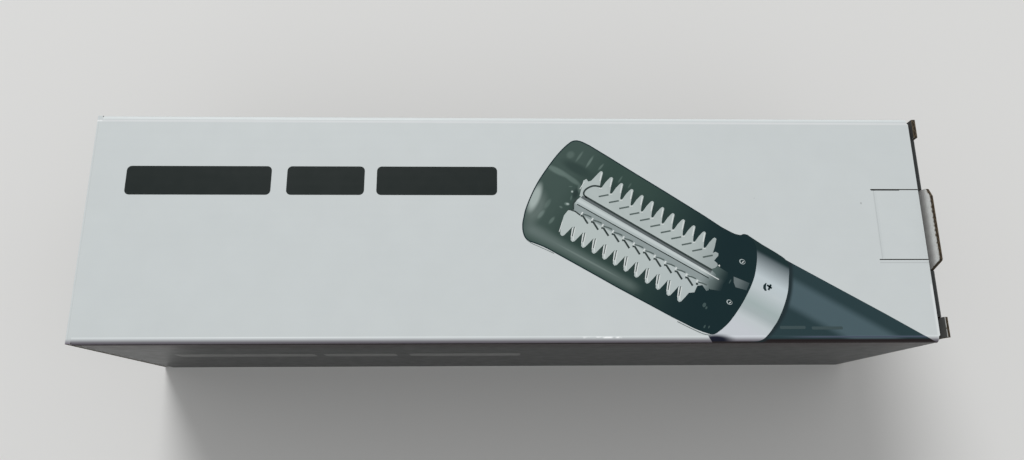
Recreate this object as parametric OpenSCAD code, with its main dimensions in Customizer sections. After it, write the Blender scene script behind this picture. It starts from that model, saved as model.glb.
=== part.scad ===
// Folded carton of thin corrugated board, lying on one long face.
// One glued sheet makes the four long panels and the dust flaps. At each end a closure swings
// on its crease and tucks inside the carton: the right one is hinged at the bottom and has
// a standing tongue, the left one is hinged at the top.
// X runs along the carton, Y from front to back, Z up. The origin is under its centre.

/* [Carton] */
// Length over the outer faces of the two end panels
carton_l = 282.9; // [180:0.1:400]
// Width over the flat faces of the front and back panels
carton_w = 78; // [60:0.5:140]
// Height of the top panel's face above the surface
carton_h = 78; // [50:0.5:140]

/* [Board] */
// Thickness of the corrugated board
board_t = 1.3; // [0.9:0.1:1.8]
// Inner radius of a crease folded square
crease_r = 0.3; // [0.2:0.05:0.5]
// How far the two upper long creases bulge past the panels beside them
crease_bulge = 0.12; // [0.05:0.01:0.25]
// Step between the front panel's glued lower edge and the surface
seam_gap = 0.3; // [0.2:0.05:0.6]
// Width of a die cut through the board
cut_w = 0.3; // [0.2:0.05:0.5]

/* [Glue flap] */
// Height of the glue flap inside the front panel
glue_h = 15; // [10:0.5:22]
// Distance from each end of the front panel to the root of the glue flap
glue_inset = 2; // [1:0.5:6]
// Slope of the glue flap's ends, in degrees
glue_slope = 30; // [15:1:45]

/* [Dust flaps] */
// How far a dust flap reaches across the carton's end
dust_l = 30; // [20:0.5:34]
// How much a dust flap is cut back from the top and bottom panels
dust_cut = 3; // [2.5:0.1:6]
// Taper of a dust flap's two long edges, in degrees
dust_taper = 6; // [0:0.5:12]
// Size of the corner cut at a dust flap's free end
dust_corner = 7; // [3:0.5:12]
// Space between a dust flap and the end panel outside it
dust_gap = 0.6; // [0.3:0.1:1.2]

/* [End closures] */
// How far the end panel is narrower than the panel that carries it, at each side
closure_inset = 0.2; // [0.1:0.1:0.8]
// Depth of the tuck flap inside the carton
tuck_d = 18; // [12:0.5:24]
// Space at each side of the tuck flap
tuck_side_gap = 0.8; // [0.5:0.1:2]
// Corner radius at the tuck flap's free end
tuck_corner_r = 8; // [3:0.5:10]
// Space between the tuck crease and the panel that it lies under
tuck_gap = 0.2; // [0.1:0.05:0.5]
// Length of the slit that locks each end of the tuck crease
slit_lock_l = 6.7; // [4:0.1:10]
// How far a shoulder beside the slit lock stops short of the outer face
shoulder_drop = 0.3; // [0.2:0.1:0.8]
// Space between a panel's free edge and the end panel beyond it
edge_gap = 1.6; // [0.9:0.1:2.5]
// Outward lean of the right closure's front shoulder, which stands off its crease, in degrees
shoulder_lean = 18; // [0:1:30]

/* [Tongue] */
// Width of the tongue at its tip
tongue_tip_w = 25; // [18:0.1:25.5]
// How much further forward the tongue reaches at the tuck crease than at its tip
front_flare = 2.2; // [0.5:0.1:4]
// How much further back the tongue reaches at the tuck crease than at its tip
back_flare = 0.8; // [0.5:0.1:4]
// How far the tongue stands above the top panel's face
tongue_rise = 3.2; // [1:0.1:6]
// Size of the corner cut at the front of the tongue's tip
front_corner = 0.4; // [0.2:0.1:1.5]
// How far along the tip the tongue's back corner is cut away
back_corner_w = 2.8; // [0.5:0.1:5]
// How far down the side the tongue's back corner is cut away
back_corner_h = 1.8; // [0.5:0.1:2.5]
// How far the tongue sits in front of the middle of its panel
tongue_offset = 0.7; // [-2:0.1:2]

/* [Tab in the top panel] */
// Distance between the two slits beside the tab
tab_w = 24.5; // [20:0.1:30]
// Length of each slit from the panel's free edge
slit_l = 16.5; // [10:0.1:24]
// Width of each slit
slit_w = 0.35; // [0.2:0.05:0.6]
// Distance of the tab's score line from the panel's free edge
score_in = 15.2; // [8:0.1:22]
// Radius of the score line's groove
score_r = 0.6; // [0.4:0.1:1]
// Depth of the score line's groove
score_depth = 0.15; // [0.05:0.05:0.3]

/* [Creases that hinge] */
// Running clearance round the rounded root of each closure
hinge_gap = 0.05; // [0.03:0.01:0.1]

/* [Hidden] */
$fn = 64;

print_white = [0.86, 0.87, 0.88];
board_slate = [0.2, 0.24, 0.26];

half_l = carton_l / 2;
side_y = carton_w / 2;
top_z = carton_h;
fold_r = board_t + crease_r;
half_t = board_t / 2;

// Stations along X, measured from the middle of the carton
hinge_x = half_l - half_t;
inside_x = half_l - board_t;
dust_x = inside_x - dust_gap;
side_end_x = dust_x - fold_r;
free_x = inside_x - edge_gap;
lip_x = hinge_x - board_t;

// The bottom panel lies between the glue flap and the back panel, so it and what is
// hinged on it are centred half a board behind the middle
base_front_y = -side_y + board_t;
base_mid_y = half_t;
flat_y = side_y - fold_r;
base_flat_front_y = base_front_y + fold_r;

// Heights in a closure's own frame, whose origin is on its hinge line
panel_reach = top_z - board_t;
tuck_peak = panel_reach - half_t - tuck_gap;
tuck_centre = tuck_peak - fold_r;
shoulder_top = panel_reach + half_t - shoulder_drop;
tongue_top = panel_reach + half_t + tongue_rise;

// The tuck flap slopes inwards just enough to swing out past the panel above it
tuck_arm = crease_r + half_t;
swing_r = tuck_peak + tuck_gap / 2;
tuck_slope = asin((pow(tuck_arm + tuck_d, 2) + pow(tuck_peak, 2) - pow(swing_r, 2))
                  / (2 * tuck_d * tuck_peak));
tuck_half_w = side_y - 2 * board_t - tuck_side_gap;

// The tongue is cut out of the tuck flap, where it leaves a window of its own outline
tongue_l = tongue_top - tuck_centre;
tongue_y = base_mid_y - tongue_offset;
bend_l = (90 + tuck_slope) * PI / 180 * tuck_arm;

// Lays a (y, z) outline across the carton and draws it out from x0 to x1
module along_x(x0, x1) {
    translate([x0, 0, 0]) rotate([90, 0, 90]) linear_extrude(x1 - x0) children();
}

// Lays an (x, z) outline along the carton and draws it out from y0 to y1
module along_y(y0, y1) {
    translate([0, y1, 0]) rotate([90, 0, 0]) linear_extrude(y1 - y0) children();
}

// Section of a bend in the board, from angle a0 to angle a1 round its centre
module bend(a0, a1) {
    reach = 3 * fold_r;
    intersection() {
        difference() {
            circle(fold_r);
            circle(crease_r);
        }
        polygon([[0, 0], for (i = [0:2]) let (a = a0 + (a1 - a0) * i / 2) reach * [cos(a), sin(a)]]);
    }
}

// Section of an upper long crease, whose outer skin bulges past both panels.
// One panel leaves it towards +x, the other downwards.
module bulged_crease() {
    bead_r = fold_r + crease_bulge;
    difference() {
        circle(bead_r);
        circle(crease_r);
        translate([0, -bead_r]) square([bead_r, bead_r + crease_r]);
        translate([-crease_r, -bead_r]) square([bead_r + crease_r, bead_r]);
    }
}

module upper_creases() {
    for (side = [0, 1]) mirror([side, 0])
        translate([-flat_y, top_z - fold_r]) bulged_crease();
}

module back_lower_crease() {
    translate([flat_y, fold_r]) bend(270, 360);
}

// Section of the sheet folded into a tube, without its glue flap
module tube_section() {
    translate([base_flat_front_y, 0]) square([flat_y - base_flat_front_y, board_t]);
    back_lower_crease();
    translate([side_y - board_t, fold_r]) square([board_t, top_z - 2 * fold_r]);
    upper_creases();
    translate([-flat_y, top_z - board_t]) square([2 * flat_y, board_t]);
    translate([-side_y, seam_gap]) square([board_t, top_z - fold_r - seam_gap]);
}

// The flap that joins the sheet into a tube, glued inside the front panel
module glue_flap() {
    root_x = side_end_x - glue_inset;
    tip_x = root_x - (glue_h - fold_r) * tan(glue_slope);
    along_x(-root_x, root_x)
        translate([base_flat_front_y, fold_r]) bend(180, 270);
    along_y(base_front_y, base_front_y + board_t)
        polygon([[-root_x, fold_r], [root_x, fold_r], [tip_x, glue_h], [-tip_x, glue_h]]);
}

// One dust flap at the front right corner, folded in across the end
module dust_flap() {
    root_z0 = board_t + dust_cut;
    root_z1 = top_z - board_t - dust_cut;
    flap_l = dust_l - fold_r;
    fall = flap_l * tan(dust_taper);
    translate([side_end_x, -flat_y, root_z0]) linear_extrude(root_z1 - root_z0) bend(270, 360);
    along_x(dust_x - board_t, dust_x)
        translate([-flat_y, 0]) polygon([
            [0, root_z0],
            [flap_l - dust_corner, root_z0 + fall],
            [flap_l, root_z0 + fall + dust_corner],
            [flap_l, root_z1 - fall - dust_corner],
            [flap_l - dust_corner, root_z1 - fall],
            [0, root_z1]
        ]);
}

// End of a panel that carries a closure, with the hollow its rounded root turns in.
// The hinge line is at the origin, and the outline is drawn for the bottom panel.
module hinge_lip_section() {
    difference() {
        translate([-board_t, -half_t]) square([board_t, board_t]);
        circle(half_t + hinge_gap);
        translate([-half_t - hinge_gap, 0]) square([board_t, board_t]);
    }
}

// What the bottom panel has beyond the tube: a hinge on the right, a free edge on the left
module bottom_ends() {
    along_x(side_end_x, lip_x) {
        translate([base_flat_front_y, 0]) square([flat_y - base_flat_front_y, board_t]);
        back_lower_crease();
    }
    along_y(base_front_y + closure_inset, side_y - closure_inset)
        translate([hinge_x, half_t]) hinge_lip_section();
    along_x(-free_x, -side_end_x)
        translate([base_flat_front_y, 0]) square([flat_y - base_flat_front_y, board_t]);
}

// What the top panel has beyond the tube: a hinge on the left, a free edge on the right
module top_ends() {
    along_x(-lip_x, -side_end_x) {
        translate([-flat_y, top_z - board_t]) square([2 * flat_y, board_t]);
        upper_creases();
    }
    along_y(-side_y + closure_inset, side_y - closure_inset)
        translate([-hinge_x, top_z - half_t]) rotate(180) hinge_lip_section();
    corner = free_x - side_end_x;
    translate([0, 0, top_z - board_t]) linear_extrude(board_t)
        polygon([[side_end_x, -flat_y], [free_x, -flat_y + corner],
                 [free_x, flat_y - corner], [side_end_x, flat_y]]);
}

// The two slits and the score line that leave a tab in the top panel's free edge
module tab_cuts() {
    for (side = [-1, 1])
        translate([free_x - slit_l, base_mid_y + side * tab_w / 2 - slit_w / 2, top_z - 2 * board_t])
            cube([slit_l + board_t, slit_w, 3 * board_t]);
    along_y(base_mid_y - (tab_w - slit_w) / 2, base_mid_y + (tab_w - slit_w) / 2)
        translate([free_x - score_in, top_z + score_r - score_depth]) circle(score_r);
}

module carton_shell() {
    color(print_white) {
        difference() {
            union() {
                along_x(-side_end_x, side_end_x) tube_section();
                top_ends();
            }
            tab_cuts();
        }
        bottom_ends();
        glue_flap();
        for (end = [0, 1], side = [0, 1])
            mirror([end, 0, 0]) mirror([0, side, 0]) dust_flap();
    }
}

// Outline of an end panel as (y, z) from its hinge line up, with the back shoulder beside its
// slit lock and, where the closure has one, the tongue
module end_panel_outline(y0, y1, with_tongue) {
    polygon([
        [y0, 0], [y1, 0],
        [y1, shoulder_top], [y1 - slit_lock_l, shoulder_top], [y1 - slit_lock_l, tuck_centre],
        [y0, tuck_centre]
    ]);
    if (with_tongue) translate([tongue_y, tuck_centre]) tongue_outline(tongue_l, 0);
}

// The front shoulder, which leans outwards from the crease line
module front_shoulder(y0, lean) {
    if (lean > 0) along_y(y0, y0 + slit_lock_l) translate([0, tuck_centre]) circle(half_t);
    translate([0, 0, tuck_centre]) rotate([0, lean, 0]) along_x(-half_t, half_t)
        translate([y0, 0]) square([slit_lock_l, shoulder_top - tuck_centre]);
}

// The tongue's outline from the crease line up, grown by a clearance at its sides
module tongue_outline(length, clearance) {
    tip = tongue_tip_w / 2 + clearance;
    front_side = tip + front_flare * front_corner / length;
    back_side = tip + back_flare * back_corner_h / length;
    polygon([[-tip - front_flare, 0], [tip + back_flare, 0], [back_side, length - back_corner_h],
             [tip - back_corner_w, length], [-tip + front_corner, length],
             [-front_side, length - front_corner]]);
}

// Outline of a tuck flap from the end of its bend, with rounded free corners
module tuck_outline(with_tongue) {
    corner_y = tuck_half_w - tuck_corner_r;
    difference() {
        union() {
            translate([-tuck_half_w, 0]) square([2 * tuck_half_w, tuck_d - tuck_corner_r]);
            translate([-corner_y, 0]) square([2 * corner_y, tuck_d]);
            for (side = [-1, 1]) translate([side * corner_y, tuck_d - tuck_corner_r]) circle(tuck_corner_r);
        }
        if (with_tongue) translate([tongue_y, -bend_l])
            tongue_outline(tongue_l + hinge_gap, cut_w);
    }
}

// The bend between the end panel and the tuck flap, over one stretch of its crease
module tuck_bend(y0, y1) {
    along_y(y0, y1) translate([-half_t - crease_r, tuck_centre]) bend(0, 90 + tuck_slope);
}

// One closure, standing on its hinge line, with its tuck flap pointing to -x
module closure(y0, y1, with_tongue, lean) {
    crease_y0 = y0 + slit_lock_l + cut_w;
    crease_y1 = y1 - slit_lock_l - cut_w;
    cut_y = tongue_tip_w / 2 + cut_w;
    along_y(y0, y1) circle(half_t);
    along_x(-half_t, half_t) end_panel_outline(y0, y1, with_tongue);
    front_shoulder(y0, lean);
    if (with_tongue) {
        tuck_bend(crease_y0, tongue_y - cut_y - front_flare);
        tuck_bend(tongue_y + cut_y + back_flare, crease_y1);
    } else {
        tuck_bend(crease_y0, crease_y1);
    }
    translate([-half_t - crease_r, 0, tuck_centre]) rotate([0, -tuck_slope, 0])
        translate([0, 0, crease_r]) rotate([0, 0, 90]) linear_extrude(board_t)
            tuck_outline(with_tongue);
}

module right_closure() {
    color(board_slate) translate([hinge_x, 0, half_t])
        closure(base_front_y + closure_inset, side_y - closure_inset, true, shoulder_lean);
}

module left_closure() {
    color(print_white) translate([-hinge_x, 0, top_z - half_t]) rotate([0, 180, 0])
        closure(-side_y + closure_inset, side_y - closure_inset, false, 0);
}

carton_shell();
right_closure();
left_closure();
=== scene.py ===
import math

import bmesh
import bpy
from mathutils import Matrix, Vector


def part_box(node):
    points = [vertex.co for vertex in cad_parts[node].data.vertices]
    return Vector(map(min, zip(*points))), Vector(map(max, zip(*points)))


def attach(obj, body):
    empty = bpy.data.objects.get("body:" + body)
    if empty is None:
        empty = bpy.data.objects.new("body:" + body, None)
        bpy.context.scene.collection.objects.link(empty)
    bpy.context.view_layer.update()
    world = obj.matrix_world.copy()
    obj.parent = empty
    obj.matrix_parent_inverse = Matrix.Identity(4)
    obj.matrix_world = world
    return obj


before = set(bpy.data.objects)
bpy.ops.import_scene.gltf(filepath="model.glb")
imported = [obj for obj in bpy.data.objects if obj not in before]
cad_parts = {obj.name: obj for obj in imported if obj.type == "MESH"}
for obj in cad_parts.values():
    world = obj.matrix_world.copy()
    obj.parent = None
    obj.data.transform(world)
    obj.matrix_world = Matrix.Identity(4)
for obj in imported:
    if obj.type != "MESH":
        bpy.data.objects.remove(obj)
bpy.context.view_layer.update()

# The camera is held above the carton's front edge and tilted back a little, as a hand holds it.
# Its place in millimetres and its turn in degrees come from the carton's own corners.
MM = 0.001
image_w = 1024
focal_px = 767.3
camera_place = (-7.49, -68.83, 323.6)
camera_turn = (15.327, -1.596, 0.039)

camera_data = bpy.data.cameras.new("camera")
camera_data.sensor_fit = "HORIZONTAL"
camera_data.sensor_width = 36
camera_data.lens = camera_data.sensor_width * focal_px / image_w
camera_data.clip_start = 0.01
camera = bpy.data.objects.new("camera", camera_data)
camera.rotation_mode = "ZYX"
camera.rotation_euler = [math.radians(a) for a in camera_turn]
camera.location = Vector(camera_place) * MM
bpy.context.collection.objects.link(camera)
bpy.context.scene.camera = camera
bpy.context.scene.view_settings.view_transform = "Standard"

# The folded sheet: one die-cut sheet of thin corrugated board, creased into a tube and glued along
# the lower front edge. The top is printed white and the sides slate under a thin gloss coat, the
# inside is plain liner paper, and every cut edge shows brown flutes between the two liners.
board_t = 1.3
liner_t = 0.16
flute_pitch = 3.3
crease_r = 0.3
crease_bulge = 0.12
dust_gap = 0.6
dust_edge_z = 3.9
edge_gap = 1.6
tab_w = 24.5
slit_l = 16.5
score_in = 15.2

shell_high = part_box("carton_shell")[1]
top_z = shell_high.z / MM - crease_bulge
side_y = shell_high.y / MM - crease_bulge
fold_r = board_t + crease_r
bead_r = fold_r + crease_bulge
flat_y = side_y - fold_r
fold_z = top_z - fold_r
mid_z = top_z / 2
mid_t = board_t / 2
hinge_x = -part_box("left_closure")[0].x / MM - mid_t
dust_x = hinge_x - mid_t - dust_gap
side_end_x = dust_x - fold_r
free_x = hinge_x - mid_t - edge_gap
slit_y = (mid_t - tab_w / 2, mid_t + tab_w / 2)
slit_start = free_x - slit_l
score_x = free_x - score_in

# Where the print changes: the slate starts part of the way round the upper folds and stops at the
# bottom panel. Painted shade darkens the front panel's upper stretch and greys the white over the
# front fold.
slate_angle = math.radians(33)
slate_top = fold_z + bead_r * math.sin(slate_angle)
bottom_print_z = 0.6
shaded_stretch = (62, 72)
turned_over = (36.9, 38.95)

white_ink = (0.60, 0.64, 0.645, 1)
slate_ink = (0.031, 0.034, 0.034, 1)
# Painted shade colours for the front fold and the front panel's upper stretch.
fold_shade_black = (0.016, 0.009, 0.010, 1)
fold_shade_grey = (0.17, 0.15, 0.185, 1)
shade_and_speck_grey = (0.3, 0.32, 0.32, 1)
slit_shade = (0.015, 0.022, 0.022, 1)
highlight_white = (0.9, 0.92, 0.93, 1)
liner_paper = (0.56, 0.57, 0.56, 1)
liner_dull = (0.47, 0.47, 0.455, 1)
pressed_liner = (0.45, 0.455, 0.44, 1)
kraft_paper = (0.125, 0.1, 0.066, 1)
kraft_dark = (0.1, 0.075, 0.048, 1)
# Painted shade for the hollows between the flutes.
hollow_shade = (0.035, 0.027, 0.018, 1)
print_gloss = 0.2
upright_gloss = 0.13

# Faint marks on the top: painted shade along the score crease and beside the north slit, a faint
# grey line just south of the south slit, two grey specks, and painted highlights along the back fold
# and near the front of the right edge. Columns: x from and to, y from and to, how soft their ends
# are, how strongly they show, and their tone.
top_marks = [
    # Painted shade along the score crease.
    (score_x - 0.55, score_x + 0.45, slit_y[0] + 0.4, slit_y[1] - 0.8, 0.3, 0.14, shade_and_speck_grey),
    (slit_start, free_x, slit_y[0] - 1.25, slit_y[0] - 0.85, 0.15, 0.3, shade_and_speck_grey),
    # Painted shade beside the north slit.
    (slit_start + 0.2, slit_start + 10, slit_y[1] - 0.38, slit_y[1] - 0.15, 0.12, 1.0, slit_shade),
    (118.0, 118.45, 7.7, 8.3, 0.15, 0.75, shade_and_speck_grey),
    (81.6, 82.0, 9.5, 9.9, 0.2, 0.3, shade_and_speck_grey),
    # Painted highlights along the back fold and near the front of the right edge.
    (-150, 150, 36.72, 37.25, 0.15, 0.7, highlight_white),
    (free_x - 0.8, free_x + 0.2, -38.0, -20.0, 0.3, 0.35, highlight_white),
]

# The bright line along the front fold, and the runs of painted highlight on it.
fold_line_y = (-37.5, -37.0)
glint_runs = [(21.7, 31.6), (32.8, 34.4)]

# Where the right closure's liner goes over from the tongue's painted light to the shoulders'
# painted shade, measured to both sides from the middle.
lit_to_shaded_y = (17, 19)


def add(tree, kind, inputs, **properties):
    """Adds one node. Its inputs are given by name or number, each as a value or as a link."""
    made = tree.nodes.new(kind)
    for name, value in properties.items():
        setattr(made, name, value)
    for key, value in dict(inputs).items():
        if isinstance(value, bpy.types.NodeSocket):
            tree.links.new(value, made.inputs[key])
        else:
            made.inputs[key].default_value = value
    return made


def calc(tree, operation, *values):
    """Works out one number from others."""
    return add(tree, "ShaderNodeMath", enumerate(values), operation=operation).outputs[0]


def times(tree, first, *others):
    """Several numbers multiplied together."""
    for value in others:
        first = calc(tree, "MULTIPLY", first, value)
    return first


def scaled(tree, vector, amount):
    """A vector or a colour made longer or lighter by one number."""
    return add(tree, "ShaderNodeVectorMath", {0: vector, "Scale": amount}, operation="SCALE").outputs[0]


def rise(tree, value, start, end):
    """A soft step, from 0 at start to 1 at end."""
    ends = {"Value": value, "From Min": start, "From Max": end}
    return add(tree, "ShaderNodeMapRange", ends, interpolation_type="SMOOTHSTEP").outputs[0]


def band(tree, value, low, high, soft):
    """1 between low and high, and 0 a little way outside them."""
    up = rise(tree, value, low - soft, low + soft)
    down = rise(tree, value, high - soft, high + soft)
    return calc(tree, "SUBTRACT", up, down)


def mix(tree, share, first, second):
    """The first colour, turning into the second as the share goes from 0 to 1."""
    return add(tree, "ShaderNodeMix", {0: share, 6: first, 7: second}, data_type="RGBA").outputs[2]


def mix_value(tree, share, first, second):
    """The first number, turning into the second as the share goes from 0 to 1."""
    return add(tree, "ShaderNodeMix", {0: share, 2: first, 3: second}, data_type="FLOAT").outputs[0]


def place(tree):
    """Where the point is on the carton, in millimetres, as a vector and as x, y and z."""
    spot = scaled(tree, add(tree, "ShaderNodeTexCoord", {}).outputs["Object"], 1 / MM)
    parts = add(tree, "ShaderNodeSeparateXYZ", {0: spot})
    return spot, parts.outputs[0], parts.outputs[1], parts.outputs[2]


def grain(tree, spot, size, detail=2.0, stretch=(1, 1, 1)):
    """Uneven patches about as wide as the size in millimetres, as a number round 0.5."""
    moved = add(tree, "ShaderNodeVectorMath", {0: spot, 1: stretch}, operation="MULTIPLY").outputs[0]
    return add(tree, "ShaderNodeTexNoise", {"Vector": moved, "Scale": 1 / size, "Detail": detail}).outputs[0]


def flute_wave(tree, across):
    """The swing of the fluted paper from one flute to the next, from -1 to 1."""
    return calc(tree, "SINE", calc(tree, "MULTIPLY", across, 2 * math.pi / flute_pitch))


def new_finish(name):
    """A material with its node tree and its shader, ready for one finish."""
    material = bpy.data.materials.new(name)
    material.use_nodes = True
    return material, material.node_tree, material.node_tree.nodes["Principled BSDF"]


def emboss(tree, shader, height, depth):
    """Raises the surface by the height, where 1 stands for the depth in millimetres."""
    bump = add(tree, "ShaderNodeBump", {"Strength": 1.0, "Distance": depth * MM, "Height": height})
    tree.links.new(bump.outputs[0], shader.inputs["Normal"])


def gloss_coat(tree, shader, colour, spot, across, gloss=print_gloss):
    """Print under a thin gloss coat: the gloss is uneven and the flutes below show as faint ridges."""
    tint = calc(tree, "MULTIPLY_ADD", grain(tree, spot, 9), 0.05, 0.975)
    fleck = calc(tree, "MULTIPLY_ADD", grain(tree, spot, 0.35, 3.0), 0.04, 0.98)
    tree.links.new(scaled(tree, colour, times(tree, tint, fleck)), shader.inputs["Base Color"])
    rough = calc(tree, "MULTIPLY_ADD", grain(tree, spot, 4), 0.12, 0.3)
    tree.links.new(rough, shader.inputs["Roughness"])
    shader.inputs["Specular IOR Level"].default_value = gloss
    ridges = times(tree, flute_wave(tree, across), 0.3)
    emboss(tree, shader, calc(tree, "MULTIPLY_ADD", grain(tree, spot, 0.6, 3.0), 0.5, ridges), 0.006)


def over_fold(tree, y):
    """How far the print has turned down over the front fold, from 0 on top to 1 near the front panel."""
    return rise(tree, calc(tree, "MULTIPLY", y, -1.0), *turned_over)


def tube_print(name, upright=False):
    """Outer print of the tube: white above a line on the upper folds, slate below it, and white
    again under the carton. An upright panel is less glossy, and the front one darkens towards its
    fold with painted shade. The white over the front fold greys with painted shade, and the top
    carries the listed marks and painted highlights along the front fold."""
    material, tree, shader = new_finish(name)
    spot, x, y, z = place(tree)
    ragged = calc(tree, "MULTIPLY_ADD", grain(tree, spot, 1.2), 0.16, -0.08)
    above = rise(tree, calc(tree, "ADD", z, ragged), slate_top - 0.03, slate_top + 0.03)
    white = calc(tree, "MAXIMUM", above, calc(tree, "LESS_THAN", z, bottom_print_z))
    slate = slate_ink
    if upright:
        # Painted shade: the front slate darkens towards its fold.
        painted_fold_shade = times(tree, rise(tree, z, *shaded_stretch), calc(tree, "LESS_THAN", y, 0))
        slate = mix(tree, painted_fold_shade, slate_ink, fold_shade_black)
    # Painted shade: the white greys as it turns down over the front fold.
    shaded_white = mix(tree, times(tree, over_fold(tree, y), above), white_ink, fold_shade_grey)
    colour = mix(tree, white, slate, shaded_white)

    on_top = calc(tree, "GREATER_THAN", z, top_z - 0.5)
    for x0, x1, y0, y1, soft, strength, tone in top_marks:
        mark = times(tree, band(tree, x, x0, x1, soft), band(tree, y, y0, y1, soft), strength)
        colour = mix(tree, times(tree, mark, on_top), colour, tone)
    # Painted highlights: broken runs of near-white glints along the front fold.
    glint_breaks = rise(tree, grain(tree, spot, 0.9, 3.0, (0.3, 1, 1)), 0.4, 0.5)
    runs = calc(tree, "ADD", *[band(tree, x, start, end, 0.6) for start, end in glint_runs])
    fold_glints = times(tree, glint_breaks, band(tree, y, *fold_line_y, 0.12), runs, on_top)
    colour = mix(tree, fold_glints, colour, highlight_white)
    if upright:
        gloss_coat(tree, shader, colour, spot, z, upright_gloss)
    else:
        gloss_coat(tree, shader, colour, spot, y)
    return material


def plain_print(name, ink, upright=False):
    """A face that carries one colour of print all over."""
    material, tree, shader = new_finish(name)
    spot, x, y, z = place(tree)
    gloss_coat(tree, shader, ink[:3], spot, z if upright else y)
    return material


def liner(name, upright=False, light_from_z=None):
    """Uncoated inner liner: whitish grey paper with fine fibres, and the flutes showing through.
    Above the given height the tongue gets painted light, paler towards its tip, and the shoulders
    next to it get painted shade."""
    material, tree, shader = new_finish(name)
    spot, x, y, z = place(tree)
    fibre = grain(tree, spot, 0.5, 5.0, (0.3, 1, 1))
    cloud = grain(tree, spot, 14)
    tone = calc(tree, "MULTIPLY_ADD", calc(tree, "ADD", fibre, cloud), 0.16, 0.84)
    wave = flute_wave(tree, z if upright else y)
    tone = calc(tree, "MULTIPLY_ADD", wave, 0.018, tone)
    if light_from_z:
        # Painted light: the tongue grows paler up towards its tip. Painted shade: the shoulders are darkened.
        tip_light = calc(tree, "MULTIPLY_ADD", rise(tree, z, light_from_z, light_from_z + 2.2), 0.32, 0.95)
        off_tongue = rise(tree, calc(tree, "ABSOLUTE", y), *lit_to_shaded_y)
        beside = times(tree, off_tongue, rise(tree, z, light_from_z - 4, light_from_z - 3))
        tone = times(tree, tone, mix_value(tree, beside, tip_light, 0.16))
    paper = mix(tree, rise(tree, fibre, 0.35, 0.75), liner_paper, liner_dull)
    tree.links.new(scaled(tree, paper, tone), shader.inputs["Base Color"])
    shader.inputs["Roughness"].default_value = 0.85
    shader.inputs["Specular IOR Level"].default_value = 0.2
    emboss(tree, shader, calc(tree, "MULTIPLY_ADD", wave, 0.8, fibre), 0.015)
    return material


def cut_edge(name, depth_of, run, fluted, pale_rim=0.16, rim_until=100):
    """A cut through the board: two liners and, between them, the fluted brown paper and its hollows.
    depth_of gives the distance from the middle of the board, and run is the axis along the edge.
    pale_rim is how deep the whitish inner liner has been pressed over the cut, up to rim_until in y."""
    material, tree, shader = new_finish(name)
    spot, x, y, z = place(tree)
    depth = depth_of(tree, x, y, z)
    flute_reach = mid_t - liner_t
    if fluted:
        swing = flute_wave(tree, {"X": x, "Y": y, "Z": z}[run])
    else:
        swing = calc(tree, "MULTIPLY_ADD", grain(tree, spot, 6), 1.2, -0.6)
    off = calc(tree, "ABSOLUTE", calc(tree, "SUBTRACT", depth, times(tree, swing, flute_reach)))
    flute = calc(tree, "SUBTRACT", 1.0, rise(tree, off, 0.09, 0.17))
    skin = rise(tree, calc(tree, "ABSOLUTE", depth), flute_reach - 0.04, flute_reach + 0.02)
    paper = mix(tree, grain(tree, spot, 0.4, 4.0), kraft_paper, kraft_dark)
    # The flutes' hollows are painted shade between the fluted paper and the liners.
    colour = mix(tree, calc(tree, "MAXIMUM", flute, skin), hollow_shade, paper)
    rim_depth = mid_t - pale_rim
    inner_rim = rise(tree, calc(tree, "MULTIPLY", depth, -1.0), rim_depth - 0.04, rim_depth + 0.04)
    chipped = rise(tree, grain(tree, spot, 0.9, 3.0), 0.36, 0.5)
    kept_rim = times(tree, inner_rim, chipped, calc(tree, "LESS_THAN", y, rim_until))
    tree.links.new(mix(tree, kept_rim, colour, pressed_liner), shader.inputs["Base Color"])
    shader.inputs["Roughness"].default_value = 0.92
    shader.inputs["Specular IOR Level"].default_value = 0.15
    return material


def depth_along(axis, middle, fold_about=0.0):
    """Distance from the middle of the board, for board that lies square to one axis."""
    def find(tree, x, y, z):
        value = {"X": x, "Y": y, "Z": z}[axis]
        away = calc(tree, "ABSOLUTE", calc(tree, "SUBTRACT", value, fold_about))
        return calc(tree, "SUBTRACT", away, middle)
    return find


def dress(node, finishes, choose):
    """Gives each face of a CAD node the finish that choose names for it."""
    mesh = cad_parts[node].data
    names = list(finishes)
    mesh.materials.clear()
    for name in names:
        mesh.materials.append(finishes[name])
    for face in mesh.polygons:
        face.material_index = names.index(choose(face.center / MM, face.normal))


def side_of_sheet(outward, normal):
    """Which side of the board a face is on, from the way out of the carton at that place."""
    lean = outward.normalized().dot(normal)
    return "outer" if lean > 0.7 else "inner" if lean < -0.7 else "cut"


def shell_face(centre, normal):
    """Sorts the sheet's faces by panel, and by print, liner or cut edge."""
    x, y, z = centre
    away_x, away_y = math.copysign(1, x), math.copysign(1, y)
    on_flap = abs(x) > side_end_x + 0.01 and dust_edge_z < z < top_z - dust_edge_z
    if on_flap:
        turn_y = max(abs(y) - flat_y, 0) * away_y
        side = side_of_sheet(Vector(((abs(x) - side_end_x) * away_x, turn_y, 0)), normal)
        if side == "cut":
            return "flap_end_cut" if abs(normal.y) > 0.7 else "flap_side_cut"
        return "flap_print" if side == "outer" else "flap_liner"
    lean_y = max(abs(y) - flat_y, 0) * away_y
    lean_z = max(abs(z - mid_z) - (mid_z - fold_r), 0) * math.copysign(1, z - mid_z)
    if (z < fold_r and y < board_t - side_y) or (lean_y == 0 and lean_z == 0):
        lean_y, lean_z = away_y, 0
    side = side_of_sheet(Vector((0, lean_y, lean_z)), normal)
    panel = "level" if abs(lean_z) >= abs(lean_y) else "upright"
    if side == "cut":
        return f"{panel}_end_cut" if abs(normal.x) > 0.7 else f"{panel}_side_cut"
    return f"{panel}_liner" if side == "inner" else f"{panel}_print"


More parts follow.
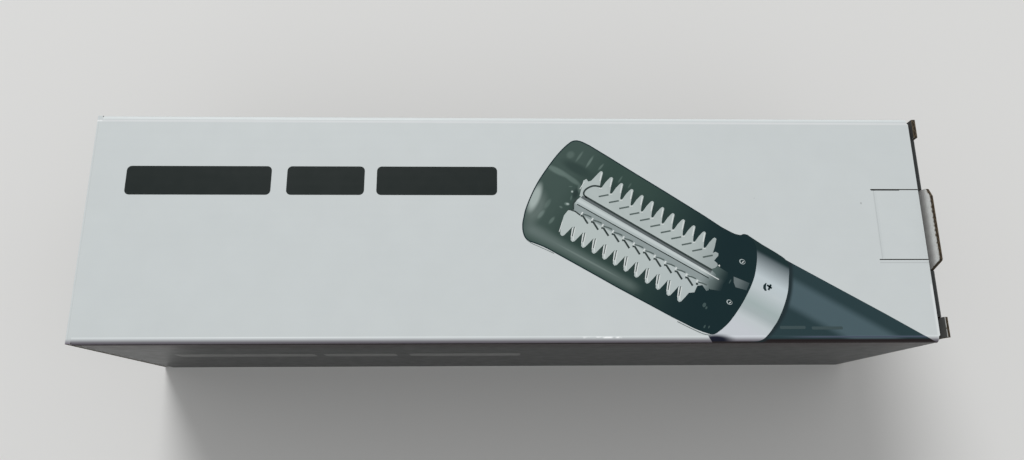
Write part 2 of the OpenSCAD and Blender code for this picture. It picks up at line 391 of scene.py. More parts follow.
level_depth = depth_along("Z", mid_z - mid_t, mid_z)
upright_depth = depth_along("Y", side_y - mid_t)
flap_depth = depth_along("X", dust_x - mid_t)
dress("carton_shell", {
    "level_print": tube_print("tube_print_level"),
    "upright_print": tube_print("tube_print_upright", upright=True),
    "level_liner": liner("liner_level"),
    "upright_liner": liner("liner_upright", upright=True),
    "flap_print": plain_print("dust_flap_print", slate_ink, upright=True),
    "flap_liner": liner("dust_flap_liner", upright=True),
    "level_end_cut": cut_edge("level_end_cut", level_depth, "Y", True),
    "level_side_cut": cut_edge("level_side_cut", level_depth, "X", False),
    "upright_end_cut": cut_edge("upright_end_cut", upright_depth, "Z", True),
    "upright_side_cut": cut_edge("upright_side_cut", upright_depth, "X", False),
    "flap_end_cut": cut_edge("flap_end_cut", flap_depth, "Z", True),
    "flap_side_cut": cut_edge("flap_side_cut", flap_depth, "Y", False),
}, shell_face)

# The right closure: the end panel, cut and creased from the bottom panel's end. Its tuck flap slides
# under the top panel, and the tongue cut out of that flap stands above the top face.
# It is slate outside, tuck flap and crease too, and plain liner inside.
tuck_gap = 0.2
tuck_lean = math.radians(7.2)
shoulder_lean = math.radians(18)
front_shoulder_y = -20
pressed_depth = 0.3
pressed_until_y = 17
skin_slack = 0.06
bend_x = hinge_x - mid_t - crease_r
left_bend_z = board_t + tuck_gap + fold_r
right_bend_z = top_z - left_bend_z
root_z = -0.75 * top_z


def closure_face(away_x, up, bend_z):
    """Sorts a closure's faces: away_x is the way out of the carton, up the way to the tuck flap."""
    def choose(centre, normal):
        x, z = centre.x * away_x, (centre.z - bend_z) * up
        facing = Vector((normal.x * away_x, 0, normal.z * up))
        from_bend = Vector((x - bend_x, 0, z))
        off_skin = min(abs(from_bend.length - fold_r), abs(from_bend.length - crease_r))
        if x < bend_x - 0.02:
            side = side_of_sheet(Vector((math.sin(tuck_lean), 0, math.cos(tuck_lean))), facing)
            if side == "cut":
                return "tuck_end_cut" if abs(normal.x) > 0.7 else "tuck_side_cut"
        elif abs(normal.y) > 0.7:
            return "panel_side_cut"
        elif z > 0 and off_skin < skin_slack and abs(from_bend.normalized().dot(facing)) > 0.9:
            side = side_of_sheet(from_bend, facing)
        elif facing.z > 0.7 and z > 0:
            return "panel_end_cut"
        elif z < root_z:
            side = "outer" if facing.x > -0.5 else "inner"
        else:
            side = side_of_sheet(Vector((1, 0, 0)), facing)
        return {"outer": "print", "inner": "liner", "cut": "panel_end_cut"}[side]
    return choose


def tuck_depth(away_x, up, bend_z):
    """Distance from the middle of the board in the sloping tuck flap."""
    def find(tree, x, y, z):
        rise_z = calc(tree, "MULTIPLY", calc(tree, "SUBTRACT", z, bend_z), math.cos(tuck_lean) * up)
        run_x = calc(tree, "SUBTRACT", x, bend_x * away_x)
        fall = calc(tree, "MULTIPLY", run_x, -math.sin(tuck_lean) * away_x)
        return calc(tree, "SUBTRACT", calc(tree, "ADD", rise_z, fall), crease_r + mid_t)
    return find


def leaning_depth(tree, x, y, z):
    """Distance from the middle of the right end panel, whose front shoulder leans outwards."""
    straight = depth_along("X", hinge_x)(tree, x, y, z)
    out = calc(tree, "MULTIPLY", calc(tree, "SUBTRACT", x, hinge_x), math.cos(shoulder_lean))
    up = calc(tree, "MULTIPLY", calc(tree, "SUBTRACT", z, right_bend_z), math.sin(shoulder_lean))
    on_shoulder = calc(tree, "LESS_THAN", y, front_shoulder_y)
    return mix_value(tree, on_shoulder, straight, calc(tree, "SUBTRACT", out, up))


def closure_finishes(side, outer, panel_depth, tuck, light_from_z=None):
    """The finishes of one closure, from its outer print and the depths in its two parts."""
    return {
        "print": outer,
        "liner": liner(f"{side}_closure_liner", light_from_z=light_from_z),
        "panel_end_cut": cut_edge(f"{side}_panel_end_cut", panel_depth, "Y", True,
                                  pressed_depth, pressed_until_y),
        "panel_side_cut": cut_edge(f"{side}_panel_side_cut", depth_along("X", hinge_x), "Z", False),
        "tuck_end_cut": cut_edge(f"{side}_tuck_end_cut", tuck, "Y", True),
        "tuck_side_cut": cut_edge(f"{side}_tuck_side_cut", tuck, "X", False),
    }


right_print = plain_print("right_closure_print", slate_ink)
dress("right_closure",
      closure_finishes("right", right_print, leaning_depth, tuck_depth(1, 1, right_bend_z), top_z),
      closure_face(1, 1, right_bend_z))

# The left closure: the same end panel without a tongue, hung from the top panel's left end.
# White print comes round the crease and turns to slate below it, as on the long folds.
left_print = tube_print("left_closure_print")
dress("left_closure",
      closure_finishes("left", left_print, depth_along("X", hinge_x), tuck_depth(-1, -1, left_bend_z)),
      closure_face(-1, -1, left_bend_z))

# The title: three short runs of heavy dark ink on the top panel, printed flat on the white.
# Each field of print from here on is a skin of ink on the sheet, bent with it over the front fold.
ink_lift = 0.03
ink_sink = 0.02
layer_lift = 0.008
fold_steps = 10
bead_from_flat = math.sqrt(bead_r ** 2 - fold_r ** 2)
fold_start = math.pi - math.acos(bead_from_flat / bead_r)
fold_start_y = bead_from_flat - flat_y
slate_edge_y = fold_start_y - bead_r * (fold_start - slate_angle)
title_ink = (0.010, 0.016, 0.015, 1)
title_words = [(-129.1, -81.0), (-75.8, -49.9), (-45.8, -5.3)]
title_y = (10.6, 20.7)
word_corner = 1.6


def on_sheet(x, y, lift):
    """Carries a point of the flat sheet to its place on the folded one, lifted off the print."""
    if y >= fold_start_y:
        return Vector((x, y, top_z + lift)) * MM
    angle = fold_start - (fold_start_y - y) / bead_r
    reach = bead_r + lift
    return Vector((x, -flat_y - reach * math.cos(angle), fold_z + reach * math.sin(angle))) * MM


def on_front(x, y, lift):
    """Carries a point of the flat front panel, whose second number is its height, to its place."""
    return Vector((x, -side_y - lift, y)) * MM


def ink_skin(name, outlines, layer, material, lay=on_sheet):
    """Lays outlines of the flat sheet down as one closed skin of ink, cut off at the slate print."""
    flat = bmesh.new()
    for outline in outlines:
        flat.faces.new([flat.verts.new((x, y, 0)) for x, y in outline])
    if lay is on_sheet:
        for i in range(fold_steps + 1):
            y = fold_start_y + (slate_edge_y - fold_start_y) * i / fold_steps
            parts = flat.verts[:] + flat.edges[:] + flat.faces[:]
            bmesh.ops.bisect_plane(flat, geom=parts, plane_co=(0, y, 0), plane_no=(0, -1, 0),
                                   clear_outer=i == fold_steps)
    bmesh.ops.triangulate(flat, faces=flat.faces[:])
    bmesh.ops.recalc_face_normals(flat, faces=flat.faces[:])
    if sum(face.normal.z for face in flat.faces) < 0:
        bmesh.ops.reverse_faces(flat, faces=flat.faces[:])
    flat.verts.index_update()
    count = len(flat.verts)
    lifts = (ink_lift + layer * layer_lift, -ink_sink)
    points = [lay(v.co.x, v.co.y, lift) for lift in lifts for v in flat.verts]
    tops = [[v.index for v in face.verts] for face in flat.faces]
    flat.free()
    if lay is on_front:
        tops = [face[::-1] for face in tops]
    faces = tops + [[i + count for i in reversed(face)] for face in tops]
    rim = {edge for face in tops for edge in zip(face, face[1:] + face[:1])}
    faces += [[b, a, a + count, b + count] for a, b in rim if (b, a) not in rim]
    mesh = bpy.data.meshes.new(name)
    mesh.from_pydata(points, [], faces)
    mesh.materials.append(material)
    skin = bpy.data.objects.new(name, mesh)
    bpy.context.collection.objects.link(skin)
    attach(skin, "carton")


def rounded_bar(x0, x1, y0, y1, radius, steps=6):
    """A rectangle with round corners, as a closed outline."""
    corners = [(x1 - radius, y1 - radius), (x0 + radius, y1 - radius),
               (x0 + radius, y0 + radius), (x1 - radius, y0 + radius)]
    outline = []
    for quarter, (x, y) in enumerate(corners):
        for i in range(steps + 1):
            angle = math.pi / 2 * (quarter + i / steps)
            outline.append((x + radius * math.cos(angle), y + radius * math.sin(angle)))
    return outline


title_bars = [rounded_bar(x0, x1, *title_y, word_corner) for x0, x1 in title_words]
ink_skin("title_bars", title_bars, 0, plain_print("title_ink", title_ink))

# The front title: the same three runs again on the front panel, half way down it.
# They are left pale in the slate print, under the same gloss coat.
front_title_words = [(-118.8, -69.8), (-66.6, -41.1), (-36.4, 3.2)]
front_title_z = (41.3, 49.6)
front_title_ink = (0.12, 0.122, 0.12, 1)

front_title_bars = [rounded_bar(x0, x1, *front_title_z, word_corner) for x0, x1 in front_title_words]
front_title_finish = plain_print("front_title_ink", front_title_ink, upright=True)
ink_skin("front_title_bars", front_title_bars, 0, front_title_finish, on_front)

# The printed picture, first its clear cover: a dark smoked tube with a rounded left end, printed
# aslant on the top panel. It is dark at the collar, and thinner and greener towards its end,
# where it has a bright sheen at the left, soft streaks and a paler band along its lower side.
tool_slant = math.radians(-30.5)
tool_from_x = -0.15
cover_black = (0.003, 0.019, 0.023, 1)
cover_deep = (0.018, 0.037, 0.034, 1)
cover_shade = (0.026, 0.052, 0.046, 1)
cover_green = (0.031, 0.063, 0.053, 1)
cover_thin = (0.048, 0.082, 0.072, 1)
cover_streak = (0.125, 0.180, 0.162, 1)
cover_pale = (0.115, 0.158, 0.148, 1)
cover_glint = (0.15, 0.20, 0.185, 1)
cover_sheen = (0.37, 0.44, 0.42, 1)
cover_lip = (0.16, 0.19, 0.185, 1)
cover_rim = 0.4


def on_tool(points):
    """Turns points along and across the printed tool into points of the flat sheet."""
    c, s = math.cos(tool_slant), math.sin(tool_slant)
    return [(along * c - across * s + tool_from_x, along * s + across * c) for along, across in points]


def curve_through(points, steps=5):
    """A smooth open curve through given points."""
    ends = [points[0]] + list(points) + [points[-1]]
    smooth = []
    for i in range(len(points) - 1):
        a, b, c, d = (Vector(p) for p in ends[i:i + 4])
        for k in range(steps):
            t = k / steps
            smooth.append(0.5 * ((2 * b) + (c - a) * t + (2 * a - 5 * b + 4 * c - d) * t ** 2
                                 + (3 * b - a - 3 * c + d) * t ** 3))
    return [tuple(p) for p in smooth] + [tuple(points[-1])]


def inset(outline, distance):
    """A closed outline drawn in by a small distance. The outline runs anticlockwise."""
    drawn = []
    for i, point in enumerate(outline):
        before, after = Vector(outline[i - 1]), Vector(outline[(i + 1) % len(outline)])
        run = (after - before).normalized()
        drawn.append((point[0] - run.y * distance, point[1] + run.x * distance))
    return drawn


def stroke(points, width):
    """A drawn line of even width, as a closed outline."""
    sides = ([], [])
    for i, point in enumerate(points):
        run = Vector(points[min(i + 1, len(points) - 1)]) - Vector(points[max(i - 1, 0)])
        run.normalize()
        for side, way in zip(sides, (1, -1)):
            side.append((point[0] - run.y * way * width / 2, point[1] + run.x * way * width / 2))
    return sides[0] + sides[1][::-1]


def tool_place(tree):
    """Where the point is along and across the printed tool, in millimetres."""
    spot, x, y, z = place(tree)
    c, s = math.cos(tool_slant), math.sin(tool_slant)
    x = calc(tree, "SUBTRACT", x, tool_from_x)
    along = calc(tree, "ADD", times(tree, x, c), times(tree, y, s))
    across = calc(tree, "SUBTRACT", times(tree, y, c), times(tree, x, s))
    return spot, along, across, y


def glow(tree, along, across, centre, size, turn=0.0):
    """A soft oval patch, 1 in its middle and 0 outside. Its turn is in degrees."""
    c, s = math.cos(math.radians(turn)), math.sin(math.radians(turn))
    a = calc(tree, "SUBTRACT", along, centre[0])
    b = calc(tree, "SUBTRACT", across, centre[1])
    u = calc(tree, "ADD", times(tree, a, c / size[0]), times(tree, b, s / size[0]))
    v = calc(tree, "SUBTRACT", times(tree, b, c / size[1]), times(tree, a, s / size[1]))
    far = calc(tree, "SQRT", calc(tree, "ADD", times(tree, u, u), times(tree, v, v)))
    return calc(tree, "SUBTRACT", 1.0, rise(tree, far, 0.35, 1.0))


cover_left_end = [(18.0, -1.0), (13.0, -1.1), (9.0, -1.65), (7.3, -1.95), (5.5, -1.5), (3.8, 0.0), (2.4, 2.2),
                  (1.6, 4.4), (0.7, 7.4), (-0.15, 13.0), (-0.45, 18.6), (-0.1, 25.0), (0.5, 30.1),
                  (1.5, 34.3), (2.7, 36.8), (4.9, 37.95), (8.6, 38.2)]
cover_upper_side = [(16.0, 37.85), (23.7, 37.4), (38.5, 36.65), (53.8, 35.75)]
cover_shoulder = [(60.5, 35.15), (64.0, 35.2), (65.8, 35.4), (67.3, 35.95), (67.8, 36.6), (68.6, 37.0)]
cover_collar_side = [(70.0, 37.05), (72.6, 35.7), (74.1, 34.0), (75.15, 32.1), (76.1, 29.8), (77.2, 26.2),
                     (77.7, 23.0), (77.85, 19.8), (77.8, 16.0), (77.5, 12.3), (76.95, 8.5), (76.4, 6.3),
                     (75.6, 4.1), (74.7, 2.2), (74.0, 1.35), (73.4, 1.0)]
cover_lower_side = [(72.2, 0.72), (70.4, 0.35), (68.0, 0.0), (60.0, -0.4), (50.0, -0.62), (40.0, -0.87),
                    (30.0, -0.9)]
cover_outline = (curve_through(cover_left_end) + cover_upper_side
                 + curve_through(cover_shoulder + cover_collar_side) + cover_lower_side)[::-1]

# Soft streaks of the cover: place along and across, half sizes, turn in degrees and strength.
cover_streaks = [
    ((7.35, 32.8), (0.55, 3.0), -4, 0.6), ((11.3, 32.9), (0.6, 3.2), -2, 0.9),
    ((15.5, 33.2), (0.5, 2.0), -10, 0.7), ((23.3, 32.6), (0.4, 1.9), -3, 0.5),
    ((27.1, 32.3), (0.4, 1.5), -3, 0.4), ((6.3, 12.6), (1.0, 2.6), 0, 0.45),
    ((6.2, 8.2), (0.9, 2.4), -8, 0.8), ((10.3, 8.2), (0.75, 2.0), -8, 0.7),
    ((4.4, 31.8), (1.7, 2.0), -20, 0.45), ((3.5, 24.4), (6.0, 1.5), 2, 0.9),
    ((9.3, 24.2), (4.6, 1.2), -6, 0.7), ((12.9, 22.6), (2.0, 0.8), -60, 0.5),
    ((11.9, 15.8), (1.2, 0.8), 20, 1.0), ((10.7, 13.8), (0.8, 0.5), 0, 0.7),
    ((14.2, 16.8), (0.5, 1.2), 0, 0.5), ((12.1, 18.4), (0.4, 1.2), 15, 0.5),
    ((10.0, 21.8), (0.9, 0.3), 30, 0.5),
]

material, tree, shader = new_finish("cover_ink")
spot, along, across, y = tool_place(tree)
colour = mix(tree, rise(tree, along, 8, 19), cover_thin, cover_green)
colour = mix(tree, rise(tree, along, 26, 66), colour, cover_black)
beside_roller = times(tree, band(tree, across, 5.0, 30.5, 1.8), band(tree, along, 14, 46, 8), 0.6)
colour = mix(tree, beside_roller, colour, cover_deep)
colour = mix(tree, glow(tree, along, across, (9.0, 28.5), (8.0, 2.6)), colour, cover_shade)
colour = mix(tree, glow(tree, along, across, (12.7, 20.4), (1.3, 2.6), 10), colour, cover_deep)
for centre, size, turn, strength in cover_streaks:
    patch = times(tree, glow(tree, along, across, centre, size, turn), strength)
    colour = mix(tree, patch, colour, cover_streak)
band_width = calc(tree, "MULTIPLY_ADD", along, -0.025, 3.9)
off_band = calc(tree, "ABSOLUTE", calc(tree, "SUBTRACT", across, 2.0))
low_band = calc(tree, "SUBTRACT", 1.0, rise(tree, calc(tree, "DIVIDE", off_band, band_width), 0.0, 1.0))
fading = calc(tree, "MULTIPLY_ADD", along, -0.009, 1.1)
colour = mix(tree, times(tree, low_band, band(tree, along, 4, 45.5, 3.0), fading), colour, cover_pale)
colour = mix(tree, glow(tree, along, across, (27.0, 2.2), (15, 0.45), 1), colour, cover_glint)
faint_sheen = times(tree, glow(tree, along, across, (3.2, 9.5), (4.5, 8.0), 8), 0.2)
colour = mix(tree, faint_sheen, colour, cover_sheen)
colour = mix(tree, glow(tree, along, across, (1.5, 12.3), (2.3, 6.8), 9), colour, cover_sheen)
colour = mix(tree, glow(tree, along, across, (11.3, 20.5), (0.5, 0.5)), colour, cover_sheen)
colour = mix(tree, glow(tree, along, across, (12.1, 15.9), (0.7, 0.45), 20), colour, cover_sheen)
gloss_coat(tree, shader, colour, spot, y)

ink_skin("cover_edge", [on_tool(cover_outline)], 0, plain_print("cover_edge_ink", cover_black))
ink_skin("cover_field", [on_tool(inset(cover_outline, cover_rim))], 1, material)
left_lip = [(6.4, -1.85), (8.6, -2.05), (11.0, -1.8), (13.5, -1.55), (16.5, -1.3)]
right_lip = [(62.0, -0.8), (66.4, -0.55), (70.0, -0.25), (71.6, 0.05), (73.3, 0.7)]
lips = [stroke(curve_through(left_lip), 0.2), stroke(curve_through(right_lip), 0.25)]
ink_skin("cover_lips", [on_tool(lip) for lip in lips], 2, plain_print("cover_lip_ink", cover_lip))

# The picture's roller: two rows of pointed teeth in pale steel tones with a rod between them,
# drawn in a few greys. Its right end fades into the dark of the cover.
tooth_pitch = 3.98
tooth_count = 12
upper_start = 16.2
lower_start = 15.4
steel_light = (0.48, 0.54, 0.53, 1)
steel_grey = (0.32, 0.37, 0.37, 1)
steel_dull = (0.12, 0.16, 0.16, 1)
body_far = (0.46, 0.52, 0.52, 1)
rod_shade = (0.28, 0.33, 0.33, 1)
rod_grey = (0.44, 0.50, 0.50, 1)
rod_light = (0.55, 0.61, 0.61, 1)
end_light = (0.15, 0.195, 0.19, 1)
end_dull = (0.085, 0.125, 0.12, 1)
groove_grey = (0.115, 0.135, 0.14, 1)
line_dark = (0.03, 0.045, 0.043, 1)
line_grey = (0.09, 0.12, 0.115, 1)
line_light = (0.66, 0.70, 0.69, 1)

upper_teeth = []
lower_teeth = []
for i in range(tooth_count):
    along, fall = upper_start + tooth_pitch * i, 0.12 * i
    upper_teeth += [(along - 0.92, 27.2 - fall * 0.7), (along - 0.7, 29.5 - fall),
                    (along - 0.22, 31.45 - fall), (along + 0.08, 31.95 - fall),
                    (along + 0.6, 31.98 - fall), (along + 0.9, 31.7 - fall), (along + 1.65, 28.8 - fall),
                    (along + 2.3, 26.8 - fall * 0.7), (along + 2.75, 26.5 - fall * 0.7)]
    along = lower_start + tooth_pitch * i
    lower_teeth += [(along - 0.85, 6.55), (along - 0.3, 5.45), (along + 0.45, 5.2), (along + 0.95, 5.75),
                    (along + 1.5, 7.9), (along + 1.95, 9.85)]
upper_left_end = [(14.2, 20.4), (13.3, 23.6), (12.7, 25.9), (13.3, 26.9), (14.3, 26.4), (15.0, 27.2)]
upper_right_end = [(61.9, 25.6), (62.5, 26.4), (63.6, 26.4), (63.9, 25.6), (63.4, 23.5), (64.7, 23.2),
                   (65.2, 22.6), (64.8, 21.4), (63.7, 20.3)]
upper_blade = upper_left_end + upper_teeth[2:-2] + upper_right_end
lower_left_end = [(14.6, 20.2), (14.2, 18.9), (14.0, 17.2), (15.0, 15.2), (13.3, 14.0), (13.0, 11.8),
                  (13.6, 9.0)]
lower_right_end = [(61.0, 9.5), (62.5, 10.6), (62.4, 13.0), (63.7, 14.1), (65.7, 13.0), (66.3, 13.7),
                   (65.0, 16.2), (66.5, 18.4), (66.0, 19.6), (64.0, 20.2)]
roller_body = lower_left_end + lower_teeth[:-1] + lower_right_end
roller_end = [(61.8, 20.4), (64.4, 22.4), (69.2, 22.2), (70.0, 20.4), (69.5, 17.9), (70.0, 15.4),
              (66.5, 14.1), (63.6, 15.0), (62.0, 17.0)]

material, tree, shader = new_finish("roller_end_ink")
spot, along, across, y = tool_place(tree)
colour = mix(tree, rise(tree, across, 18.4, 19.6), end_light, end_dull)
colour = mix(tree, rise(tree, along, 64.0, 70.4), colour, cover_black)
gloss_coat(tree, shader, colour, spot, y)
ink_skin("roller_end", [on_tool(roller_end)], 2, material)

material, tree, shader = new_finish("upper_teeth_ink")
spot, along, across, y = tool_place(tree)
colour = mix(tree, rise(tree, along, 52, 67), steel_light, steel_grey)
colour = mix(tree, times(tree, grain(tree, spot, 2.2), 0.35), colour, steel_grey)
gloss_coat(tree, shader, colour, spot, y)
ink_skin("roller_upper_teeth", [on_tool(upper_blade)], 3, material)

material, tree, shader = new_finish("roller_body_ink")
spot, along, across, y = tool_place(tree)
colour = mix(tree, rise(tree, along, 30, 66), steel_light, body_far)
colour = mix(tree, band(tree, across, 14.9, 17.4, 0.3), colour, rod_shade)
colour = mix(tree, band(tree, across, 17.6, 19.7, 0.15), colour, rod_grey)
colour = mix(tree, band(tree, across, 18.3, 19.4, 0.25), colour, rod_light)
colour = mix(tree, rise(tree, along, 61.5, 66.5), colour, steel_dull)
gloss_coat(tree, shader, colour, spot, y)
ink_skin("roller_body", [on_tool(roller_body)], 3, material)

groove = stroke([(15.0, 20.55), (64.3, 19.6)], 1.0)
ink_skin("roller_groove", [on_tool(groove)], 4, plain_print("groove_ink", groove_grey))

curl = curve_through([(18.7, 26.9), (16.6, 26.0), (15.2, 24.2), (14.8, 22.6), (15.3, 21.5), (16.6, 21.2)])
dark_lines = [stroke(curl, 0.6), stroke([(16.0, 21.2), (64.2, 20.2)], 0.65),
              stroke([(14.9, 17.45), (64.5, 17.25)], 0.35),
              stroke([(13.4, 14.5), (15.6, 14.9), (17.7, 14.6)], 0.45),
              stroke([(13.9, 19.2), (13.6, 17.0), (14.6, 15.3)], 0.4)]
grey_lines = []
light_lines = [stroke([(60.0, 18.6), (67.6, 18.5)], 0.3), stroke([(65.4, 22.95), (65.9, 22.6)], 0.45),
               stroke([(13.6, 9.6), (14.4, 6.0)], 0.26), stroke([(13.1, 22.6), (13.2, 25.6)], 0.26)]
for i in range(tooth_count):
    along = upper_start + tooth_pitch * i
    fall = 0.09 * i
    top_fall = fall * 1.33
    hook = 14.4 - 0.1 * i
    dash = [(along + 1.7, hook + 0.1), (along + 2.4, hook + 0.4)]
    if i < tooth_count - 1:
        dash.append((along + 5.05, hook - 1.1))
    dark_lines.append(stroke(dash, 0.65))
    back = [(along + 2.1, hook + 1.0), (along + 3.6, hook + 1.4), (along + 5.0, hook + 1.5)]
    grey_lines.append(stroke(back, 0.45))
    light_lines.append(stroke([(along + 1.7, hook + 1.6), (along + 1.6, hook + 0.6)], 0.45))
    if i > 0:
        grey_lines.append(stroke([(along - 0.3, 23.6 - fall), (along + 2.25, 25.85 - fall)], 0.5))
    if i < tooth_count - 1:
        dark_lines.append(stroke([(along + 1.75, 10.1), (along + 2.7, 6.9)], 0.3))
        light_lines.append(stroke([(along + 1.35, 9.4), (along + 2.55, 6.3)], 0.3))
        light_lines.append(stroke([(along + 2.1, 10.0), (along + 3.0, 6.95), (along + 3.6, 5.85)], 0.36))
        light_lines.append(stroke([(along + 0.5, 31.5 - top_fall), (along + 1.45, 28.5 - top_fall)], 0.36))
        light_lines.append(stroke([(along + 2.5, 26.2 - fall), (along + 3.3, 26.6 - fall)], 0.3))
line_sets = [("dark", dark_lines, line_dark), ("grey", grey_lines, line_grey),
             ("light", light_lines, line_light)]
for layer, (name, lines, ink) in enumerate(line_sets, start=5):
    finish = plain_print(f"{name}_line_ink", ink)
    ink_skin(f"roller_{name}_lines", [on_tool(line) for line in lines], layer, finish)

# The picture's rivets, on the dark end of the cover beside the collar: small pale rings round dark
# heads, each with a glint. Beside them lie a dim patch and a few dim specks of print.
rivets = [((71.7, 27.9), 1.05), ((73.9, 13.5), 1.0)]
rivet_rim = (0.40, 0.46, 0.46, 1)
patch_grey = (0.14, 0.175, 0.18, 1)
patch_dim = (0.04, 0.065, 0.07, 1)
speck_dim = (0.05, 0.085, 0.085, 1)
specks = [((67.2, 8.5), 0.55, 0.8), ((68.2, 8.0), 0.3, 0.5), ((70.4, 2.2), 0.25, 0.6),
          ((71.7, 2.8), 0.2, 0.5), ((71.1, 19.8), 0.2, 0.8)]
cover_patch = [(71.4, 21.9), (76.9, 22.6), (77.1, 19.9), (73.5, 19.0), (72.3, 20.1)]


def oval(centre, half_a, half_b, steps=18):
    """An oval along and across the printed tool, as a closed outline."""
    turns = [2 * math.pi * i / steps for i in range(steps)]
    return [(centre[0] + half_a * math.cos(a), centre[1] + half_b * math.sin(a)) for a in turns]


material, tree, shader = new_finish("patch_ink")
spot, along, across, y = tool_place(tree)
gloss_coat(tree, shader, mix(tree, rise(tree, along, 72.5, 77.5), patch_grey, patch_dim), spot, y)
ink_skin("cover_patch", [on_tool(cover_patch)], 2, material)

rims = [oval(c, r, r * 0.8) for c, r in rivets]
heads = [oval((c[0] + 0.1, c[1] + 0.05), r * 0.76, r * 0.58) for c, r in rivets]
glints = [stroke([(c[0] + 0.1, c[1] - 0.35), (c[0] + 0.35, c[1] + 0.3)], 0.3) for c, r in rivets]
ink_skin("rivet_rims", [on_tool(rim) for rim in rims], 2, plain_print("rivet_rim_ink", rivet_rim))
ink_skin("rivet_heads", [on_tool(head) for head in heads], 3, plain_print("rivet_head_ink", cover_black))
ink_skin("rivet_glints", [on_tool(glint) for glint in glints], 4, plain_print("rivet_glint_ink", line_light))
ink_skin("dim_marks", [on_tool(oval(*speck)) for speck in specks], 2, plain_print("dim_mark_ink", speck_dim))

# The picture's collar: a bright metal ring between cover and handle, dark along its upper side,
# with one small screw. Its lower end runs over the front fold, where it gets painted shade.
collar_left = cover_collar_side + [(72.7, 0.3), (73.6, -0.4), (74.8, -1.0), (76.0, -2.0)]
collar_upper_side = [(75.0, 36.6), (78.0, 36.5), (81.0, 36.35)]
collar_handle_side = [(84.0, 35.85), (86.0, 34.0), (87.6, 30.3), (89.1, 26.2), (90.0, 21.0), (90.2, 16.2),
                      (89.95, 13.7), (89.6, 11.2), (88.95, 8.8), (87.9, 7.1), (86.2, 5.7), (83.0, 3.0)]
collar_right = curve_through(collar_upper_side + collar_handle_side)[::-1]
collar_black = (0.008, 0.026, 0.028, 1)
# Painted shade at the collar's lower left end, on the front fold.
collar_fold_shade = (0.006, 0.008, 0.022, 1)
collar_w = 40.0

# The metal's tones across the ring, from its lower end up, as shares of its width.
collar_tones = [(0.2, (0.58, 0.61, 0.65)), (0.29, (0.55, 0.60, 0.62)), (0.36, (0.40, 0.46, 0.47)),
                (0.43, (0.38, 0.455, 0.455)), (0.56, (0.53, 0.59, 0.61)), (0.66, (0.53, 0.60, 0.63)),
                (0.86, (0.025, 0.048, 0.056))]

material, tree, shader = new_finish("collar_ink")
spot, along, across, y = tool_place(tree)
tones = add(tree, "ShaderNodeValToRGB", {0: calc(tree, "DIVIDE", across, collar_w)})
while len(tones.color_ramp.elements) < len(collar_tones):
    tones.color_ramp.elements.new(0.5)
for element, (where, tone) in zip(tones.color_ramp.elements, collar_tones):
    element.position = where
    element.color = (*tone, 1)
colour = mix(tree, rise(tree, across, 33.0, 34.6), tones.outputs[0], collar_black)
# Painted shade where the collar turns down over the front fold: greying, a dark navy patch, and black at the
# fold's lower edge.
colour = mix(tree, over_fold(tree, y), colour, fold_shade_grey)
colour = mix(tree, glow(tree, along, across, (75.3, 0.1), (7.5, 2.4), 30.5), colour, collar_fold_shade)
colour = mix(tree, rise(tree, calc(tree, "MULTIPLY", y, -1.0), 38.45, 38.75), colour, fold_shade_black)
gloss_coat(tree, shader, colour, spot, y)
ink_skin("collar_field", [on_tool(collar_right + curve_through(collar_left))], 2, material)

screw_lines = [stroke([(82.2, 24.95), (84.0, 24.75)], 0.65), stroke([(83.2, 25.75), (83.3, 23.65)], 0.65),
               [(81.5, 25.4), (81.15, 24.3), (81.5, 23.3), (82.4, 22.8), (82.9, 23.2), (82.3, 23.8),
                (82.0, 24.5), (81.8, 25.4)]]
ink_skin("collar_screw", [on_tool(line) for line in screw_lines], 3, plain_print("screw_ink", cover_black))

# The picture's handle: a dark tapering grip from the collar to the front fold near the right corner,
# blackest along its upper edge and beside the collar. Two faint bars lie on it near the fold, where it
# has a painted highlight with painted shade below it.
handle_far_side = [(92, -10.0), (140, 20.0), (141, 36.0), (134, 35.93), (120, 36.05), (104, 35.95),
                   (87, 35.85)]
handle_mid = (0.068, 0.112, 0.130, 1)
handle_dark = (0.019, 0.044, 0.051, 1)
handle_black = (0.012, 0.025, 0.03, 1)
handle_glint = (0.062, 0.080, 0.118, 1)
bar_ink = (0.046, 0.075, 0.080, 1)

material, tree, shader = new_finish("handle_ink")
spot, along, across, y = tool_place(tree)
colour = mix(tree, band(tree, across, 22.3, 31.0, 1.6), handle_dark, handle_mid)
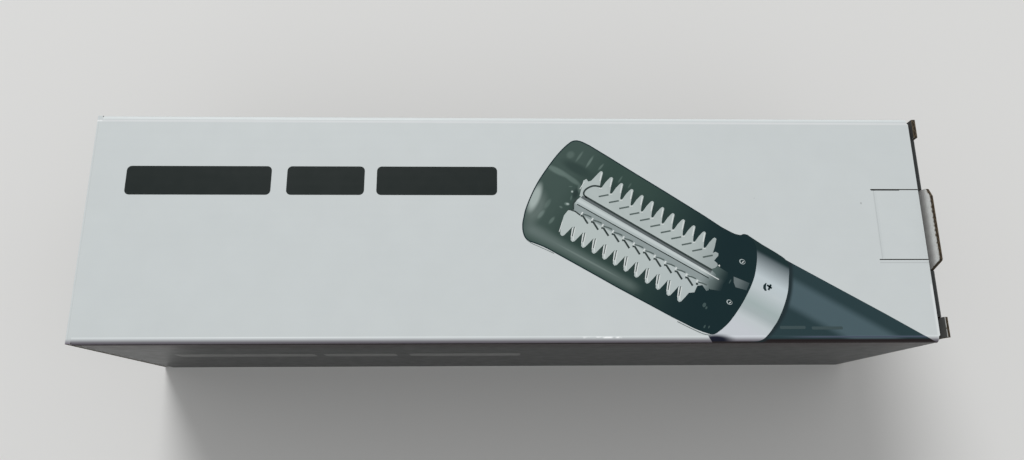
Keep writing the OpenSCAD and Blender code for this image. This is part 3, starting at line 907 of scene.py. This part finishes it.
# Painted highlight along the front fold, and painted shade below it.
on_glint = times(tree, band(tree, y, *fold_line_y, 0.2), rise(tree, along, 92, 104))
colour = mix(tree, on_glint, colour, handle_glint)
colour = mix(tree, rise(tree, calc(tree, "MULTIPLY", y, -1.0), 37.6, 38.3), colour, fold_shade_black)
off_middle = calc(tree, "ABSOLUTE", calc(tree, "SUBTRACT", across, 18.5))
bow = times(tree, calc(tree, "POWER", off_middle, 2.0), 0.0175)
from_collar = calc(tree, "ADD", calc(tree, "SUBTRACT", along, 90.0), bow)
at_collar = calc(tree, "SUBTRACT", 1.0, rise(tree, from_collar, 0.8, 2.2))
colour = mix(tree, at_collar, colour, handle_black)
gloss_coat(tree, shader, colour, spot, y)
ink_skin("handle_field", [on_tool(curve_through(collar_handle_side) + handle_far_side)], 1, material)

handle_bars = [rounded_bar(86.2, 94.6, -34.7, -33.7, 0.4), rounded_bar(96.6, 106.8, -34.9, -33.9, 0.4)]
ink_skin("handle_bars", handle_bars, 2, plain_print("handle_bar_ink", bar_ink))

# The floor is plain pale board, and the light is one broad soft lamp behind and to the left of the
# carton with an even pale surround.
floor_pale = (0.74, 0.74, 0.73, 1)
floor_grey = (0.72, 0.72, 0.71, 1)
floor_half = 30.0
lamp_place = Vector((-1.05, 3.3, 3.0))
lamp_size = 2.1
lamp_power = 144.0
surround = 0.5

floor_mesh = bpy.data.meshes.new("floor")
floor_corners = [(-floor_half, -floor_half, 0), (floor_half, -floor_half, 0),
                 (floor_half, floor_half, 0), (-floor_half, floor_half, 0)]
floor_mesh.from_pydata(floor_corners, [], [(0, 1, 2, 3)])
floor = bpy.data.objects.new("floor", floor_mesh)
bpy.context.collection.objects.link(floor)
material, tree, shader = new_finish("floor_board")
spot, x, y, z = place(tree)
tree.links.new(mix(tree, grain(tree, spot, 300), floor_pale, floor_grey), shader.inputs["Base Color"])
shader.inputs["Roughness"].default_value = 0.9
shader.inputs["Specular IOR Level"].default_value = 0.1
floor_mesh.materials.append(material)

lamp_data = bpy.data.lights.new("soft_lamp", "AREA")
lamp_data.shape = "DISK"
lamp_data.size = lamp_size
lamp_data.energy = lamp_power
lamp = bpy.data.objects.new("soft_lamp", lamp_data)
lamp.location = lamp_place
lamp.rotation_euler = (Vector((0, 0, top_z * MM)) - lamp_place).to_track_quat("-Z", "Y").to_euler()
bpy.context.collection.objects.link(lamp)

world = bpy.data.worlds.new("surround")
world.use_nodes = True
world.node_tree.nodes["Background"].inputs["Strength"].default_value = surround
world.node_tree.nodes["Background"].inputs["Color"].default_value = (1, 1, 1, 1)
bpy.context.scene.world = world
